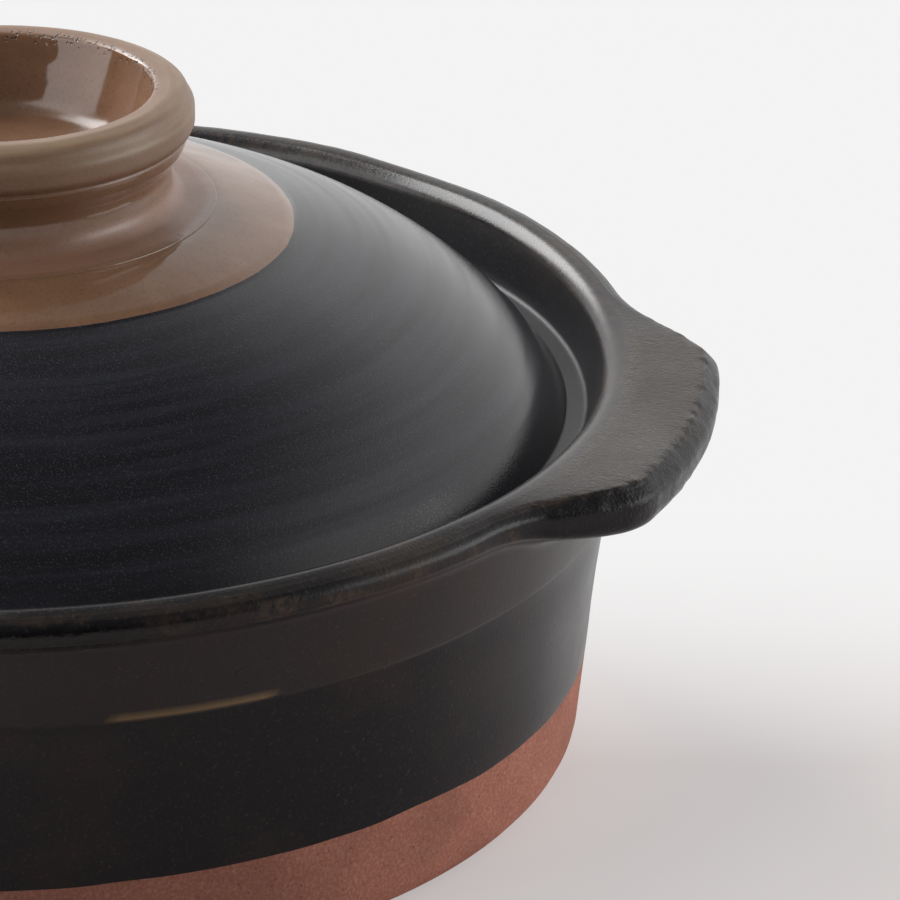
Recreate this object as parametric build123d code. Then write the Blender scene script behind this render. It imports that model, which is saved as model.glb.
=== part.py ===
"""Donabe: a round stoneware pot with two lugs, and a domed lid with a ring knob.

Millimetres, +Z up. The origin is the centre of the base, on the surface that the pot stands
on, and the lugs lie along X. Every piece but the lugs is turned about Z. The pot is a plain
bowl up to the step line, and a collar above it with the rim bead, the gallery and the lugs.
"""
import os
from math import cos, radians, sin, sqrt, tan

from build123d import *

# Pot: radii are taken in from the outside of the rim, and heights down from its top
rim_outer_radius = 130.0
pot_height = 83.5
base_recess_depth = 1.4
base_recess_slope = 5.0
base_ring_width = 27.2
foot_inset = 13.8
foot_rounding = 8.0
step_inset = 5.8
step_drop = 24.8
step_depth = 0.9
step_rise = 1.3
collar_inset = 2.6
collar_drop = 8.9
wall_thickness = 7.6
floor_thickness = 8.5
inner_corner_rounding = 26.0

# Rim bead, and the gallery inside it that carries the lid
bead_width = 7.6
bead_height = 6.2
bead_rounding = 3.0
brim_rounding = 4.2
gallery_depth = 10.5
gallery_inset = 11.8
gallery_width = 12.7
gallery_lip_thickness = 6.5
gallery_nose_rounding = 2.4

# Lugs
lug_projection = 15.5
lug_thickness = 12.4
lug_under_slope = 8.0
lug_top_drop = 0.6
lug_width_share = 0.2268
lug_side_angle = 38.0
lug_corner_rounding = 14.0
lug_root_rounding = 34.0
lug_top_rounding = 2.8
lug_under_rounding = 4.6

# Lid: the shares are of its own radius
lid_wall = 6.5
lid_edge_gap = 3.9
lid_edge_rise = 1.6
lid_edge_bevel = 1.0
knob_seat_rise = 42.9
crown_curve_share = 1.706
shoulder_share = 0.6474
steam_hole_radius = 4.0
steam_hole_share = 0.7

# Ring knob: radii are taken from its lip, and heights upwards from its seat on the lid
lip_radius = 40.2
knob_foot_overhang = 4.0
knob_foot_edge = 0.7
flare_rise = 0.9
waist_inset = 4.9
waist_height = 7.7
flare_rounding_share = 0.753
waist_rounding = 4.0
lip_under_inset = 0.8
lip_under_height = 6.0
lip_edge_height = 1.6
lip_height = 8.7
lip_width = 9.0
lip_rounding_share = 0.5555
mouth_rounding_share = 0.4444
cup_depth = 15.5
cup_lean = 3.6
cup_corner_rounding = 6.0

# Cutting bodies run this far past what they cut
overrun = 6.0

# Radii and heights that follow from the sizes above
foot_radius = rim_outer_radius - foot_inset
base_recess_radius = foot_radius - base_ring_width - base_recess_slope
step_radius = rim_outer_radius - step_inset
step_height = pot_height - step_drop
collar_radius = rim_outer_radius - collar_inset
collar_height = pot_height - collar_drop
rim_inner_radius = rim_outer_radius - bead_width
gallery_outer_radius = rim_outer_radius - gallery_inset
gallery_inner_radius = gallery_outer_radius - gallery_width
gallery_z = pot_height - gallery_depth
wall_inner_radius = step_radius - step_depth - wall_thickness
lug_reach = rim_outer_radius + lug_projection
lid_radius = gallery_outer_radius - lid_edge_gap
crown_curve_radius = crown_curve_share * lid_radius
shoulder_radius = shoulder_share * lid_radius
knob_seat_z = gallery_z + knob_seat_rise
knob_foot_radius = lip_radius + knob_foot_overhang


def turned(corners):
    """Solid of revolution about Z. Each corner is (radius, height, rounding)."""
    points = [(radius, height) for radius, height, rounding in corners]
    roundings = [rounding for radius, height, rounding in corners]
    outline = FilletPolyline(*points, radius=roundings, close=True)
    return revolve(Plane.XZ * make_face(outline), Axis.Z, 360)


def make_bowl():
    """Bowl: hollow base, rounded foot, leaning wall with a step at its top, plain inside."""
    return turned(
        [
            (0, base_recess_depth, 0),
            (base_recess_radius, base_recess_depth, 0),
            (base_recess_radius + base_recess_slope, 0, 0),
            (foot_radius, 0, foot_rounding),
            (step_radius - step_depth, step_height - step_rise, 0),
            (step_radius, step_height, 0),
            (wall_inner_radius, step_height, 0),
            (foot_radius - wall_thickness, floor_thickness, inner_corner_rounding),
            (0, floor_thickness, 0),
        ]
    )


def collar_outside():
    """Corners of the collar's outside, from the step line to the top of the rim bead."""
    return [
        (step_radius, step_height, 0),
        (collar_radius, collar_height, 0),
        (rim_outer_radius, pot_height - bead_height, 0),
        (rim_outer_radius, pot_height, bead_rounding),
    ]


def make_collar():
    """Collar: its outside, then the brim, the gallery and the slope under the gallery."""
    inside = [
        (rim_inner_radius, pot_height, brim_rounding),
        (gallery_outer_radius, gallery_z, 0),
        (gallery_inner_radius, gallery_z, gallery_nose_rounding),
        (gallery_inner_radius, gallery_z - gallery_lip_thickness, gallery_nose_rounding),
        (wall_inner_radius, step_height, 0),
    ]
    return turned(collar_outside() + inside)


def collar_filled():
    """The collar's outside as one full body down to the base, for cutting the lugs to it."""
    return turned([(0, 0, 0), (step_radius, 0, 0)] + collar_outside() + [(0, pot_height, 0)])


def arc_about(centre, radius, start, end):
    """Arc of that radius between two points that lie on it."""
    middle = ((start - centre).normalized() + (end - centre).normalized()).normalized()
    return ThreePointArc(start, centre + middle * radius, end)


def mirrored(point):
    """The same point on the other side of the lug's middle."""
    return Vector(point.X, -point.Y)


def lug_side(turn):
    """Left or right side of the lug's plan, from the tip to the wall, with its two ends.

    The corner and the root are arcs tangent to the flank and to the circle of the tip or of
    the wall, so each centre stands one rounding off both.
    """
    square = Vector(sin(radians(lug_side_angle)), cos(radians(lug_side_angle)))
    along = Vector(square.Y, -square.X)
    flank = square.dot(Vector(lug_reach, lug_width_share * lug_reach))
    corner_off = flank - lug_corner_rounding
    corner_ring = lug_reach - lug_corner_rounding
    corner = square * corner_off + along * sqrt(corner_ring**2 - corner_off**2)
    root_off = flank + lug_root_rounding
    root_ring = step_radius + lug_root_rounding
    root = square * root_off + along * sqrt(root_ring**2 - root_off**2)
    tip_end = turn(corner.normalized() * lug_reach)
    flank_start = turn(corner + square * lug_corner_rounding)
    flank_end = turn(root - square * lug_root_rounding)
    wall_end = turn(root.normalized() * step_radius)
    side = [
        arc_about(turn(corner), lug_corner_rounding, tip_end, flank_start),
        Line(flank_start, flank_end),
        arc_about(turn(root), lug_root_rounding, flank_end, wall_end),
    ]
    return side, tip_end, wall_end


def lug_plan():
    """Plan of the wall with the right lug on it: rounded corners, ends flared into the wall."""
    left, left_tip, left_wall = lug_side(Vector)
    right, right_tip, right_wall = lug_side(mirrored)
    tip = ThreePointArc(right_tip, Vector(lug_reach, 0), left_tip)
    wall = ThreePointArc(left_wall, Vector(-step_radius, 0), right_wall)
    return make_face(Wire([tip] + left + [wall] + right))


def make_lug():
    """Right lug: the plan made thick, thicker inwards, edges rounded, cut to the collar."""
    slope = tan(radians(lug_under_slope))
    top_z = pot_height - lug_top_drop
    tip_z = top_z - lug_thickness
    axis_z = tip_z - lug_reach * slope
    slab = Pos(0, 0, axis_z) * extrude(lug_plan(), top_z - axis_z)
    slab -= turned(
        [
            (0, axis_z, 0),
            (lug_reach + overrun, tip_z + overrun * slope, 0),
            (lug_reach + overrun, axis_z - overrun, 0),
            (0, axis_z - overrun, 0),
        ]
    )
    top_edges = slab.edges().filter_by_position(Axis.Z, top_z, top_z)
    slab = fillet(top_edges, lug_top_rounding)
    wall_z = tip_z - (lug_reach - step_radius + overrun) * slope
    under_edges = slab.edges().filter_by_position(Axis.Z, wall_z, tip_z + overrun * slope)
    slab = fillet(under_edges, lug_under_rounding)
    return slab - collar_filled()


def make_dome():
    """Lid: a wide crown arc and a tighter shoulder arc tangent to it, with the same pair inside.

    The crown is flat under the knob, and the edge is flat where it rests on the gallery.
    """
    crown_centre = Vector(0, 0, knob_seat_z - sqrt(crown_curve_radius**2 - knob_foot_radius**2))
    seat = Vector(knob_foot_radius, 0, knob_seat_z)
    shoulder_rise = sqrt(crown_curve_radius**2 - shoulder_radius**2)
    shoulder = crown_centre + Vector(shoulder_radius, 0, shoulder_rise)
    edge = Vector(lid_radius, 0, gallery_z + lid_edge_rise)
    inward = (crown_centre - shoulder).normalized()
    chord = edge - shoulder
    skirt_curve_radius = chord.dot(chord) / (2 * chord.dot(inward))
    skirt_centre = shoulder + inward * skirt_curve_radius
    crown = arc_about(crown_centre, crown_curve_radius, seat, shoulder)
    skirt = arc_about(skirt_centre, skirt_curve_radius, shoulder, edge)

    inner_skirt_radius = skirt_curve_radius - lid_wall
    inner_edge_run = sqrt(inner_skirt_radius**2 - (gallery_z - skirt_centre.Z) ** 2)
    inner_edge = Vector(skirt_centre.X + inner_edge_run, 0, gallery_z)
    inner_shoulder = shoulder + inward * lid_wall
    inner_crown_radius = crown_curve_radius - lid_wall
    inner_top_z = knob_seat_z - lid_wall
    inner_flat_radius = sqrt(inner_crown_radius**2 - (inner_top_z - crown_centre.Z) ** 2)
    inner_seat = Vector(inner_flat_radius, 0, inner_top_z)
    rim = Polyline(edge, Vector(lid_radius - lid_edge_bevel, 0, gallery_z), inner_edge)
    inner_skirt = arc_about(skirt_centre, inner_skirt_radius, inner_edge, inner_shoulder)
    inner_crown = arc_about(crown_centre, inner_crown_radius, inner_shoulder, inner_seat)
    top = Polyline(inner_seat, Vector(0, 0, inner_top_z), Vector(0, 0, knob_seat_z), seat)

    outline = crown + skirt + rim + inner_skirt + inner_crown + top
    dome = revolve(make_face(outline), Axis.Z, 360)
    hole = Cylinder(
        steam_hole_radius, knob_seat_rise, align=(Align.CENTER, Align.CENTER, Align.MIN)
    )
    return dome - Pos(-steam_hole_share * lid_radius, 0, gallery_z) * hole


def make_knob():
    """Knob: a flared foot, a waist, a heavy rolled lip and an open cup, turned in one."""
    waist_radius = lip_radius - waist_inset
    waist_top = flare_rise + waist_height
    lip_under_rise = waist_top + lip_under_height
    lip_low_rise = lip_under_rise + lip_edge_height
    crest_rise = lip_low_rise + lip_height
    mouth_radius = lip_radius - lip_width
    cup_floor_rise = crest_rise - cup_depth
    outline = [
        (0, 0, 0),
        (knob_foot_radius, 0, 0),
        (knob_foot_radius, knob_foot_edge, 0),
        (waist_radius, flare_rise, flare_rounding_share * waist_height),
        (waist_radius, waist_top, waist_rounding),
        (lip_radius - lip_under_inset, lip_under_rise, 0),
        (lip_radius, lip_low_rise, 0),
        (lip_radius, crest_rise, lip_rounding_share * lip_width),
        (mouth_radius, crest_rise, mouth_rounding_share * lip_width),
        (mouth_radius - cup_lean, cup_floor_rise, cup_corner_rounding),
        (0, cup_floor_rise, 0),
    ]
    return Pos(0, 0, knob_seat_z) * turned(outline)


def main():
    lug = make_lug()
    nodes = {
        "pot_bowl": make_bowl(),
        "pot_collar": make_collar(),
        "handle_lug_right": lug,
        "handle_lug_left": Rot(0, 0, 180) * lug,
        "lid_dome": make_dome(),
        "lid_knob": make_knob(),
    }
    os.makedirs("parts", exist_ok=True)
    for name, shape in nodes.items():
        solids = shape.solids()
        print(name, "solids", len(solids), "volume", round(shape.volume), "mm3")
        export_step(solids[0] if len(solids) == 1 else shape, f"parts/{name}.step")


main()
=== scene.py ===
import bpy
import numpy as np
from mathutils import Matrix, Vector


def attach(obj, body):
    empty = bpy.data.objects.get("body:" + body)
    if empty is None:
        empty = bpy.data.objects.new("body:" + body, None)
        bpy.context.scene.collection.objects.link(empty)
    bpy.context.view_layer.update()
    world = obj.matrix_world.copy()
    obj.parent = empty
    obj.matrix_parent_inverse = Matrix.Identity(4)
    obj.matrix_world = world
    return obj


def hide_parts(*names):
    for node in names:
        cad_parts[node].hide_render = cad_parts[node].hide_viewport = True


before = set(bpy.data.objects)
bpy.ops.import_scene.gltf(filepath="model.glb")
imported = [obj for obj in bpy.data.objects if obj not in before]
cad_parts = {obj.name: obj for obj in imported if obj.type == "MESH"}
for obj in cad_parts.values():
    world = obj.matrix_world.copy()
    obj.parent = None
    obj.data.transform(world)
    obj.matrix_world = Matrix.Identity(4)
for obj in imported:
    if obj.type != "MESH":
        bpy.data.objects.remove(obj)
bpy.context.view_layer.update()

# Donabe clay pot. Sizes are in millimetres until meshFromGrid turns them to metres.
# The pot stands at the origin, its lugs lie along X, and the photograph is taken from -Y.
mm = 0.001
print("frame loaded:", sorted(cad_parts))


def linear(hexColour):
    # sRGB hex to linear light
    parts = [int(hexColour[i:i + 2], 16) / 255 for i in (1, 3, 5)]
    low = [p / 12.92 if p <= 0.04045 else ((p + 0.055) / 1.055) ** 2.4 for p in parts]
    return (*low, 1.0)


def latticeValue(ix, iy, iz, seed):
    # one fixed pseudo-random number from -1 to 1 for each lattice point, from mixed integers
    mixed = (ix & 0xffffffff) * 73856093 ^ (iy & 0xffffffff) * 19349663
    mixed = (mixed ^ (iz & 0xffffffff) * 83492791 ^ seed * 2654435761) & 0xffffffff
    mixed = (mixed ^ mixed >> 15) * 2246822519 & 0xffffffff
    mixed = (mixed ^ mixed >> 13) * 3266489917 & 0xffffffff
    return (mixed ^ mixed >> 16) / 2147483647.5 - 1


def latticeNoise(points, wavelength, seed):
    # value noise: lattice numbers at the eight corners round a point, eased between them
    scaled = points / wavelength
    cell = np.floor(scaled).astype(np.int64)
    part = scaled - cell
    part = part * part * (3 - 2 * part)
    total = 0
    for dx in (0, 1):
        for dy in (0, 1):
            for dz in (0, 1):
                weight = np.abs(1 - dx - part[..., 0])
                weight = weight * np.abs(1 - dy - part[..., 1])
                weight = weight * np.abs(1 - dz - part[..., 2])
                corner = latticeValue(
                    cell[..., 0] + dx, cell[..., 1] + dy, cell[..., 2] + dz, seed)
                total = total + weight * corner
    return total


def handNoise(points, *layers):
    # noises added up, each given as amount, wavelength in mm and seed
    return sum(
        amount * latticeNoise(points, wavelength, seed) for amount, wavelength, seed in layers)


def ease(value, low, high):
    # 0 below low, 1 above high, a smooth step between
    part = np.clip((value - low) / (high - low), 0, 1)
    return part * part * (3 - 2 * part)


def plateau(value, start, full, last, end):
    # 0 outside start and end, 1 from full to last, a smooth step on each side
    return ease(value, start, full) * (1 - ease(value, last, end))


def band(row, first, last, feather):
    # 1 on the rows from first to last, eased to 0 over some rows on each side
    return plateau(row, first - feather, first, last, last + feather)


def facing(degrees, middle, full, gone):
    # 1 up to so many degrees either way from an azimuth, eased to 0 further off
    away = np.abs((degrees - middle + 180) % 360 - 180)
    return 1 - ease(away, full, gone)


def cornerTable(azimuth, corners):
    # corners of a section as radius, height and rounding, each one number or one per azimuth
    one = 1 + 0 * azimuth
    return np.stack([np.stack([part * one for part in corner], axis=1) for corner in corners])


def roundedProfile(table, arcSteps, runSteps):
    # A path of straight runs whose inner corners are arcs tangent to both sides, at every
    # azimuth at once. Tangent length = rounding x tan(half the turn); the arc's points are
    # start + rounding x (sin(t) forward + (1 - cos(t)) inward). Marks are the rows where the
    # corners' arcs start.
    corners, roundings = table[..., :2], table[..., 2]
    runs = corners[1:] - corners[:-1]
    lengths = np.linalg.norm(runs, axis=2)
    headings = runs / lengths[..., None]
    rows = [corners[0]]
    marks = [0]
    arrival = corners[0]
    for i in range(1, len(corners) - 1):
        before, after = headings[i - 1], headings[i]
        cross = before[:, 0] * after[:, 1] - before[:, 1] * after[:, 0]
        turn = np.arctan2(np.abs(cross), (before * after).sum(1))
        half = np.tan(turn / 2)
        room = 0.49 * np.minimum(lengths[i - 1], lengths[i])  # leaves the next arc its half
        rounding = np.minimum(roundings[i], room / np.maximum(half, 1e-6))
        start = corners[i] - before * (rounding * half)[:, None]
        side = np.where(cross < 0, -1.0, 1.0)
        inward = np.stack([-before[:, 1] * side, before[:, 0] * side], axis=1)
        for k in range(1, runSteps[i - 1]):
            rows.append(arrival + (start - arrival) * (k / runSteps[i - 1]))
        marks.append(len(rows))
        for k in range(arcSteps[i] + 1):
            angle = turn * k / arcSteps[i]
            ahead = (rounding * np.sin(angle))[:, None] * before
            rows.append(start + ahead + (rounding * (1 - np.cos(angle)))[:, None] * inward)
        arrival = rows[-1]
    for k in range(1, runSteps[-1]):
        rows.append(arrival + (corners[-1] - arrival) * (k / runSteps[-1]))
    marks.append(len(rows))
    rows.append(corners[-1])
    return np.stack(rows), marks


def arcPoints(centre, radius, angles):
    # centre + radius x (cos(angle), sin(angle))
    return centre + radius * np.stack([np.cos(angles), np.sin(angles)], axis=1)


def circlePoints(azimuth, radius):
    # a level circle, where noise closes on itself round the wheel
    return radius * np.stack([np.cos(azimuth), np.sin(azimuth), 0 * azimuth], axis=-1)


def turnedPoints(section, azimuth):
    # a section of (radius, height) swept round Z: x = r cos(a), y = r sin(a), z = height
    return np.stack([
        section[..., 0] * np.cos(azimuth),
        section[..., 0] * np.sin(azimuth),
        section[..., 1]], axis=-1)


def alongPath(section):
    # distance along the section from its first row, in mm
    steps = np.linalg.norm(np.diff(section, axis=0), axis=2)
    return np.concatenate([0 * steps[:1], np.cumsum(steps, axis=0)])


def turningCoordinates(azimuth, distance):
    # place on the wheel for the materials: unit circle in x and y, mm along the section in z
    return np.cos(azimuth), np.sin(azimuth), distance


def outwardNormals(points):
    # cross product of the step round the wheel and the step along the section
    alongRows = np.gradient(points, axis=0)
    aroundWheel = np.roll(points, -1, axis=1) - np.roll(points, 1, axis=1)
    normals = np.cross(aroundWheel, alongRows)
    size = np.linalg.norm(normals, axis=2, keepdims=True)
    return normals / np.maximum(size, 1e-9)


def ringQuads(rings, columns, firstVertex):
    # faces between neighbouring rings of vertices, which are counted ring by ring
    column = np.arange(columns)
    after = (column + 1) % columns
    start = firstVertex + np.arange(rings - 1)[:, None] * columns
    return np.stack([
        start + column, start + after,
        start + columns + after, start + columns + column], axis=-1).reshape(-1, 4)


def addObject(name, data):
    made = bpy.data.objects.new(name, data)
    bpy.context.scene.collection.objects.link(made)
    return made


def meshFromGrid(name, points, materials, faceMaterial, attributes):
    # Rows of a closed ring become quads, and the first and last rows, which lie on the axis,
    # become one point each with a fan of triangles. An attribute is given as its three
    # channels, each for the whole grid, for its rows, for its columns or one number for all.
    rows, columns = points.shape[:2]

    def perVertex(grid):
        return np.concatenate([grid[:1, 0], grid[1:-1].reshape(-1, 3), grid[-1:, 0]])

    verts = perVertex(points) * mm
    column = np.arange(columns)
    after = (column + 1) % columns
    lastRing = 1 + (rows - 3) * columns
    lowFan = np.stack([0 * column, 1 + after, 1 + column], axis=-1)
    quads = ringQuads(rows - 2, columns, 1)
    topFan = np.stack([
        lastRing + column, lastRing + after, 0 * column + len(verts) - 1], axis=-1)
    corners = np.concatenate([lowFan.ravel(), quads.ravel(), topFan.ravel()])
    sizes = np.repeat([3, 4, 3], [columns, len(quads), columns])
    mesh = bpy.data.meshes.new(name)
    mesh.vertices.add(len(verts))
    mesh.vertices.foreach_set("co", verts.astype(np.float32).ravel())
    mesh.loops.add(len(corners))
    mesh.loops.foreach_set("vertex_index", corners.astype(np.int32))
    mesh.polygons.add(len(sizes))
    mesh.polygons.foreach_set("loop_start", (np.cumsum(sizes) - sizes).astype(np.int32))
    mesh.polygons.foreach_set("use_smooth", np.ones(len(sizes), bool))
    for material in materials:
        mesh.materials.append(material)
    mesh.polygons.foreach_set("material_index", np.repeat(faceMaterial, columns).astype(np.int32))
    for label, channels in attributes.items():
        grid = np.stack([np.broadcast_to(part, (rows, columns)) for part in channels], axis=-1)
        layer = mesh.attributes.new(label, "FLOAT_VECTOR", "POINT")
        layer.data.foreach_set("vector", perVertex(grid).astype(np.float32).ravel())
    mesh.update(calc_edges=True)
    mesh.validate()
    return addObject(name, mesh)


def addNode(tree, kind, inputs=None, **settings):
    # One node with its input values or links and its settings. A node given as an input is
    # linked from its first output, or from a colour mix's result. Inputs 0, 6 and 7 of a
    # colour mix are its amount and two colours, and 0, 2 and 3 those of a mix of numbers.
    made = tree.nodes.new(kind)
    for key, value in settings.items():
        setattr(made, key, value)
    for key, value in (inputs or {}).items():
        if isinstance(value, bpy.types.Node):
            value = value.outputs[2 if getattr(value, "data_type", "") == "RGBA" else 0]
        if isinstance(value, bpy.types.NodeSocket):
            tree.links.new(value, made.inputs[key])
        else:
            made.inputs[key].default_value = value
    return made


def newMaterial(name):
    material = bpy.data.materials.new(name)
    material.use_nodes = True
    tree = material.node_tree
    tree.nodes.clear()
    return material, tree


# In the materials, a noise's scale is its waves per metre, and bump distances are in metres.

# Satin iron glaze over coarse stoneware, brushed on by hand while the pot turned: near black,
# brown where it thins, pits and tan grit along the edges, fine drag ripples on the lugs.
potGlaze = {
    # tan is also a painted warm tint in the far brim's highlight
    "thick": "#101015", "collar": "#2e292a", "thin": "#33281f", "lug": "#372c23",
    # pit also paints shade on the near rim's face
    "inside": "#15151b", "grit": "#5a483d", "tan": "#7d6552", "pitAndPaintedShade": "#080606",
    # glint is a painted highlight on the step
    "glint": "#8b7355", "lugAmount": 0.8,
    "roughness": 0.28, "polished": 0.25, "innerRoughness": 0.42, "ior": 1.47,
    "rimSpecular": 0.5, "wallSpecular": 0.28, "grain": 0.5, "pitsAndPaintedShade": 0.7, "drag": 0.65,
}


def ironGlaze(name, specular):
    # one coat, used twice: with its full sheen on the rim and lugs, duller on the walls
    material, tree = newMaterial(name)
    place = addNode(tree, "ShaderNodeTexCoord").outputs["Object"]
    turning = addNode(tree, "ShaderNodeAttribute", attribute_name="turning").outputs["Vector"]
    # wear marks and painted light: tan and brim tint, pits and painted shade, the painted glint
    wearAndLight, zones, skins = [
        addNode(tree, "ShaderNodeSeparateXYZ", {0: addNode(
            tree, "ShaderNodeAttribute", attribute_name=label).outputs["Vector"]}).outputs
        for label in ("wearAndPaintedLight", "zones", "skins")]
    # clouds 29 mm across, blots of 2.4 mm, and grit of 0.8 mm and less
    cloud = addNode(tree, "ShaderNodeTexNoise", {
        "Vector": place, "Scale": 34.0, "Detail": 5.0, "Roughness": 0.62})
    grain = addNode(tree, "ShaderNodeTexNoise", {
        "Vector": place, "Scale": 1300.0, "Detail": 2.0, "Roughness": 0.65})
    blot = addNode(tree, "ShaderNodeTexNoise", {
        "Vector": place, "Scale": 420.0, "Detail": 3.0, "Roughness": 0.7})
    # drag ripples: 0.7 mm apart round the wheel, 2 mm long outwards, a little wavy
    dragPlace = addNode(tree, "ShaderNodeMapping", {"Vector": turning, "Scale": (210, 210, 0.5)})
    drag = addNode(tree, "ShaderNodeTexNoise", {
        "Vector": dragPlace, "Scale": 1.0, "Detail": 3.0, "Roughness": 0.65, "Distortion": 1.0})
    thinAmount = addNode(tree, "ShaderNodeMapRange", {
        "Value": cloud, "From Min": 0.5, "From Max": 0.72, "To Max": 0.6})
    lugAmount = addNode(tree, "ShaderNodeMath", {
        0: zones["Y"], 1: potGlaze["lugAmount"]}, operation="MULTIPLY")
    gritAmount = addNode(tree, "ShaderNodeMapRange", {
        "Value": grain, "From Min": 0.58, "From Max": 0.74, "To Max": 0.4})
    # the blots break up the edges' tan and dark pits, which hold painted tint and shade too
    tanBreak = addNode(tree, "ShaderNodeMapRange", {
        "Value": blot, "From Min": 0.38, "From Max": 0.62})
    tanAmount = addNode(tree, "ShaderNodeMath", {0: wearAndLight["X"], 1: tanBreak}, operation="MULTIPLY")
    # the pit colour also paints the near rim's face black: painted shade
    pitBreak = addNode(tree, "ShaderNodeMapRange", {
        "Value": blot, "From Min": 0.62, "From Max": 0.42})
    pitAndShadeAmount = addNode(tree, "ShaderNodeMath", {0: wearAndLight["Y"], 1: pitBreak}, operation="MULTIPLY")
    body = linear(potGlaze["thick"])
    for amount, colour in (
            (skins["Y"], "collar"), (thinAmount, "thin"), (zones["Z"], "inside"),
            (lugAmount, "lug"), (gritAmount, "grit"), (tanAmount, "tan"), (pitAndShadeAmount, "pitAndPaintedShade"),
            # the glint is a painted highlight on the step
            (wearAndLight["Z"], "glint")):
        body = addNode(tree, "ShaderNodeMix", {
            0: amount, 6: body, 7: linear(potGlaze[colour])}, data_type="RGBA")
    # the skin is coarser on the lugs and the rim
    coarse = addNode(tree, "ShaderNodeMapRange", {
        "Value": zones["X"], "To Min": 0.4, "To Max": 1.5})
    grainHeight = addNode(tree, "ShaderNodeMath", {0: grain, 1: coarse}, operation="MULTIPLY")
    grainBump = addNode(tree, "ShaderNodeBump", {
        "Strength": potGlaze["grain"], "Distance": 0.00016, "Height": grainHeight})
    pitHeight = addNode(tree, "ShaderNodeMath", {0: blot, 1: wearAndLight["Y"]}, operation="MULTIPLY")
    pitBump = addNode(tree, "ShaderNodeBump", {
        "Strength": potGlaze["pitsAndPaintedShade"], "Distance": 0.0003, "Height": pitHeight,
        "Normal": grainBump})
    # the ripples come and go in patches
    patchy = addNode(tree, "ShaderNodeMapRange", {
        "Value": cloud, "From Min": 0.36, "From Max": 0.62, "To Min": 0.25})
    dragHere = addNode(tree, "ShaderNodeMath", {0: patchy, 1: zones["X"]}, operation="MULTIPLY")
    dragHeight = addNode(tree, "ShaderNodeMath", {0: drag, 1: dragHere}, operation="MULTIPLY")
    dragBump = addNode(tree, "ShaderNodeBump", {
        "Strength": potGlaze["drag"], "Distance": 0.00042, "Height": dragHeight,
        "Normal": pitBump})
    rough = addNode(tree, "ShaderNodeMapRange", {
        "Value": cloud, "From Min": 0.3, "From Max": 0.7,
        "To Min": potGlaze["roughness"] - 0.04, "To Max": potGlaze["roughness"] + 0.08})
    for amount, roughness in ((skins["X"], "polished"), (zones["Z"], "innerRoughness")):
        rough = addNode(tree, "ShaderNodeMix", {
            0: amount, 2: rough, 3: potGlaze[roughness]}, data_type="FLOAT")
    shader = addNode(tree, "ShaderNodeBsdfPrincipled", {
        "Base Color": body, "Roughness": rough, "IOR": potGlaze["ior"],
        "Specular IOR Level": specular, "Normal": dragBump})
    addNode(tree, "ShaderNodeOutputMaterial", {"Surface": shader})
    return material


# Bare red stoneware, wiped clean of glaze and fired: matt, sandy, with fine dark iron specks.
clay = {"base": "#a76957", "pale": "#be8a77", "dark": "#6b4539", "roughness": 0.88, "ior": 1.45}


def bareStoneware():
    material, tree = newMaterial("BareRedStoneware")
    place = addNode(tree, "ShaderNodeTexCoord").outputs["Object"]
    # sand grains of 0.7 mm, flame marks of 17 mm, iron specks 0.5 mm across and 2.4 mm apart
    sand = addNode(tree, "ShaderNodeTexNoise", {
        "Vector": place, "Scale": 1400.0, "Detail": 2.0, "Roughness": 0.7})
    cloud = addNode(tree, "ShaderNodeTexNoise", {"Vector": place, "Scale": 60.0, "Detail": 3.0})
    speck = addNode(tree, "ShaderNodeTexVoronoi", {"Vector": place, "Scale": 420.0})
    paleAmount = addNode(tree, "ShaderNodeMapRange", {
        "Value": sand, "From Min": 0.42, "From Max": 0.75})
    darkAmount = addNode(tree, "ShaderNodeMapRange", {
        "Value": cloud, "From Min": 0.62, "From Max": 0.35, "To Max": 0.3})
    speckAmount = addNode(tree, "ShaderNodeMapRange", {
        "Value": speck, "From Min": 0.16, "From Max": 0.08, "To Max": 0.6})
    body = linear(clay["base"])
    for amount, colour in ((paleAmount, "pale"), (darkAmount, "dark"), (speckAmount, "dark")):
        body = addNode(tree, "ShaderNodeMix", {
            0: amount, 6: body, 7: linear(clay[colour])}, data_type="RGBA")
    bump = addNode(tree, "ShaderNodeBump", {"Strength": 0.6, "Distance": 0.0002, "Height": sand})
    shader = addNode(tree, "ShaderNodeBsdfPrincipled", {
        "Base Color": body, "Roughness": clay["roughness"], "IOR": clay["ior"], "Normal": bump})
    addNode(tree, "ShaderNodeOutputMaterial", {"Surface": shader})
    return material


# Satin blue-black glaze on the lid: fine sandy grain and faint rings left by the turning brush.
lidGlaze = {
    "deep": "#15151b", "grey": "#26272e", "sand": "#5a585f",
    "roughness": 0.16, "ior": 1.48, "grain": 0.22,
}


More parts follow.
